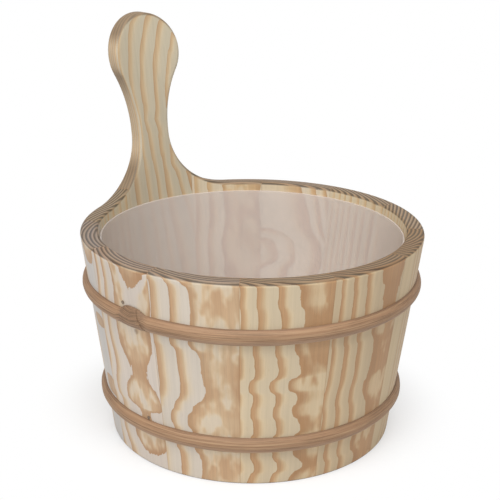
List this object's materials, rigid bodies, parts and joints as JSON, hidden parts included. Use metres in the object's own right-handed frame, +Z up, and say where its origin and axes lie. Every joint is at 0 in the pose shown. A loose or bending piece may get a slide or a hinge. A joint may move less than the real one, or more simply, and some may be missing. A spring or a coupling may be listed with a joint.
{
  "type": "wooden piggin",
  "caption": "Small coopered pail of tapered pine staves with a long stave shaped as an upright paddle handle, cane hoops and a lift-out translucent liner.",
  "frame": {"origin": "on the surface that the pail stands on, under the middle of the whole object's box, which lies 8.7 mm from the bucket's own axis towards the handle", "axes": "+Z up, +Y from the bucket's axis towards the handle, +X to the right when the handle is at the far side"},
  "size_m": [0.2392, 0.2568, 0.2813],
  "materials": {
    "pine": "planed and sanded, unvarnished, strong growth rings",
    "cane": "split cane, fine lengthwise fibres, matt",
    "liner_plastic": "thin milky translucent moulding, satin",
    "dowel_wood": "turned beech, hidden in the head",
    "brad_steel": "dull grey steel"
  },
  "bodies": {
    "bucket": {"handle_stave": "pine", "stave_01": "pine", "stave_02": "pine", "stave_03": "pine", "stave_04": "pine", "stave_05": "pine", "stave_06": "pine", "stave_07": "pine", "stave_08": "pine", "stave_09": "pine", "stave_10": "pine", "stave_11": "pine", "head_board_left": "pine", "head_board_middle": "pine", "head_board_right": "pine", "head_dowels": "dowel_wood", "upper_hoop": "cane", "lower_hoop": "cane", "upper_hoop_brads": "brad_steel", "lower_hoop_brads": "brad_steel"},
    "liner": {"liner": "liner_plastic"}
  },
  "joints": [
    {"name": "liner_lift", "type": "slide", "parent": "bucket", "child": "liner", "axis": [0, 0, 1], "range_m": [0, 0.15]}
  ]
}
